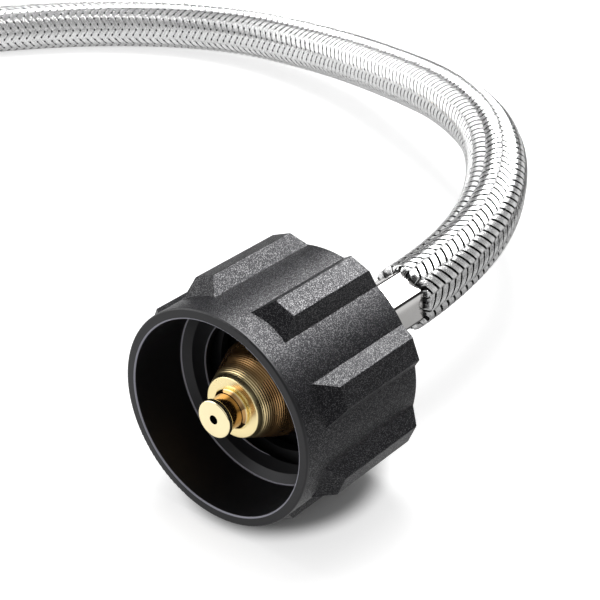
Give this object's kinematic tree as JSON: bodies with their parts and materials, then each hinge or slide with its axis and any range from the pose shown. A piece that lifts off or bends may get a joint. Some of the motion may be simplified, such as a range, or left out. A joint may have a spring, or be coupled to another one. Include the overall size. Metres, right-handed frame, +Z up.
{
  "type": "propane regulator hose",
  "caption": "Propane pigtail: ribbed plastic hand nut over a brass sealing nipple, steel braided hose lying in a bend, and a flare nut on its far end.",
  "frame": {"origin": "on the floor, below the middle of the first end (hand nut, nipple and first ferrule)", "axes": "+Z up, -Y out of the hand nut's mouth along the first end's axis, +X to the right of someone who looks into the mouth"},
  "size_m": [0.2827, 0.1895, 0.0457],
  "materials": {
    "nut_plastic": "charcoal moulded plastic with a fine grain",
    "bushing_plastic": "natural moulded plastic",
    "brass": "bright turned brass",
    "stem_brass": "turned brass",
    "spring_steel": "stainless spring wire",
    "ferrule_steel": "bright pressed steel",
    "hose_rubber": "black rubber",
    "textile": "woven yarn",
    "braid_steel": "braided stainless wire"
  },
  "bodies": {
    "hose": {"nipple": "brass", "inlet_tip": "brass", "flow_spring": "spring_steel", "near_ferrule": "ferrule_steel", "hose_liner": "hose_rubber", "hose_textile": "textile", "hose_cover": "hose_rubber", "steel_braid": "braid_steel", "far_ferrule": "ferrule_steel", "far_stem": "stem_brass"},
    "bushing": {"thermal_bushing": "bushing_plastic"},
    "hand_nut": {"handwheel": "nut_plastic"},
    "limiter": {"flow_piston": "brass"},
    "flare_nut": {"swivel_nut": "stem_brass"}
  },
  "joints": [
    {"name": "nut_float", "type": "slide", "parent": "hose", "child": "bushing", "axis": [0, 1, 0], "range_m": [0, 0.0029]},
    {"name": "handwheel_turn", "type": "hinge", "parent": "bushing", "child": "hand_nut", "pos_m": [0, -0.0124, 0.02287], "axis": [0, 1, 0], "continuous": true},
    {"name": "piston_slide", "type": "slide", "parent": "hose", "child": "limiter", "axis": [0, 1, 0], "range_m": [0, 0.00145], "stiffness_N_per_m": 20, "springref_m": -0.001, "deforming": ["flow_spring"]},
    {"name": "swivel_nut_turn", "type": "hinge", "parent": "hose", "child": "flare_nut", "pos_m": [-0.253, 0.02456, 0.007], "axis": [-0.3328, -0.943, 0], "continuous": true}
  ]
}
